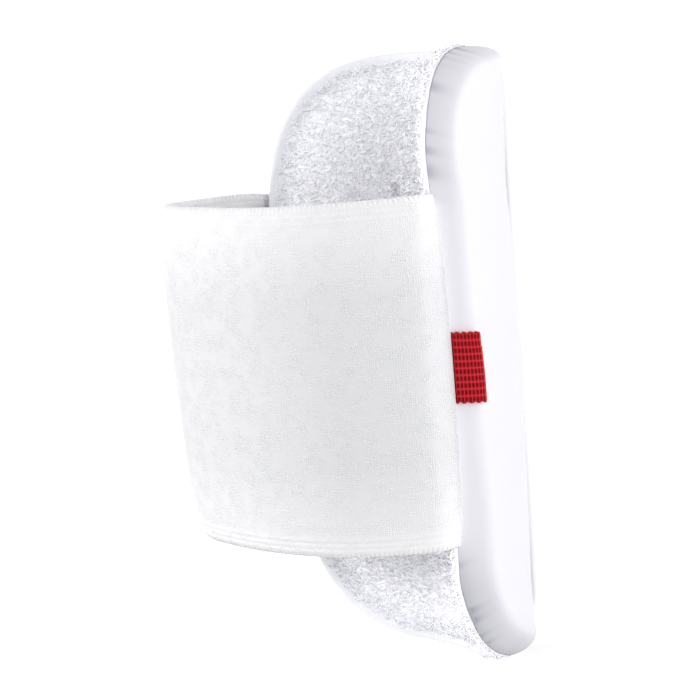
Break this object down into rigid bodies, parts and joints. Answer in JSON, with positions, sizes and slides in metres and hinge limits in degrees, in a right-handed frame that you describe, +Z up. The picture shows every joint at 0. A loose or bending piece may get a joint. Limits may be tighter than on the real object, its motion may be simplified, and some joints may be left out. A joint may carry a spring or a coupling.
{
  "type": "cricket arm guard",
  "caption": "Padded forearm guard with a towelling lining inside a curved trough, closed over the arm by a wide elastic strap with a red webbing tab",
  "frame": {"origin": "on the floor under the middle of the padded cover's crown", "axes": "+X along the forearm towards the elbow end, +Y across it towards the rim over which the strap fastens, +Z up from the crown to the loop of the strap"},
  "size_m": [0.25, 0.1307, 0.1197],
  "materials": {
    "cover": "smooth coated cloth over foam",
    "lining": "towelling with an uncut loop pile",
    "strap": "woven elastic",
    "patch": "hook-and-loop tape",
    "tab": "ribbed webbing"
  },
  "bodies": {
    "root": {"padded_cover": "cover", "towel_lining": "lining", "elastic_strap": "strap", "fastening_patch": "patch", "webbing_tab": "tab"}
  },
  "joints": []
}
